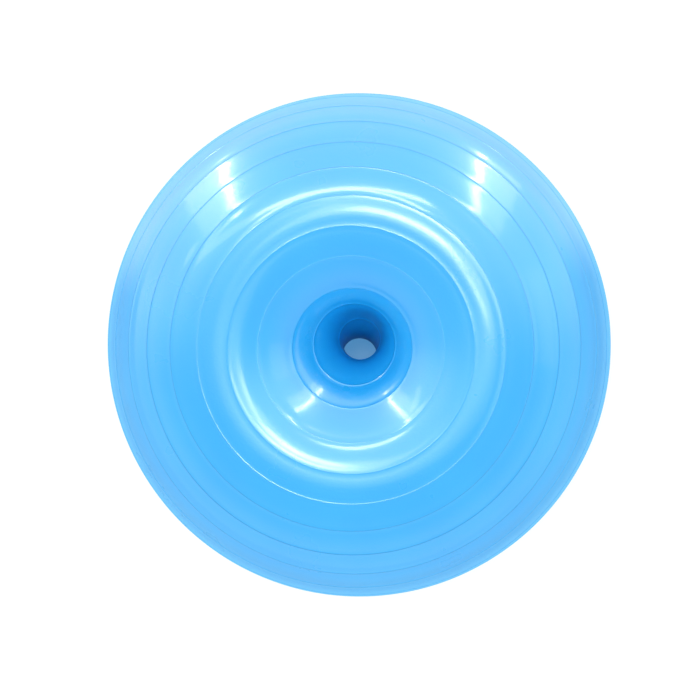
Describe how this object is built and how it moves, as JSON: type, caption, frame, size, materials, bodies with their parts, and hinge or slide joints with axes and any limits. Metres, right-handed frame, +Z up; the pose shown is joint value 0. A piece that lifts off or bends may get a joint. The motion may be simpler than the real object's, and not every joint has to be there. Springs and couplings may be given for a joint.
{
  "type": "donut exercise ball",
  "caption": "Inflated ring-shaped exercise ball with a dished top and bottom, a narrow hole through the middle, grip ribs round its skin and a push-in air valve.",
  "frame": {"origin": "middle of the ball on the floor that it lies on", "axes": "+Z up along the hole, -Y towards the side with the valve, +X to the right of that side's viewer"},
  "size_m": [0.5, 0.5, 0.236],
  "materials": {
    "skin": "glossy soft PVC, slightly translucent, sky blue",
    "valve_seat": "satin soft PVC, blue",
    "valve_plug": "white polythene, satin"
  },
  "bodies": {
    "root": {"skin": "skin", "valve_seat": "valve_seat"},
    "plug": {"valve_plug": "valve_plug"}
  },
  "joints": [
    {"name": "plug_pull", "type": "slide", "parent": "root", "child": "plug", "axis": [0, -0.896, -0.4441], "range_m": [0, 0.026]}
  ]
}
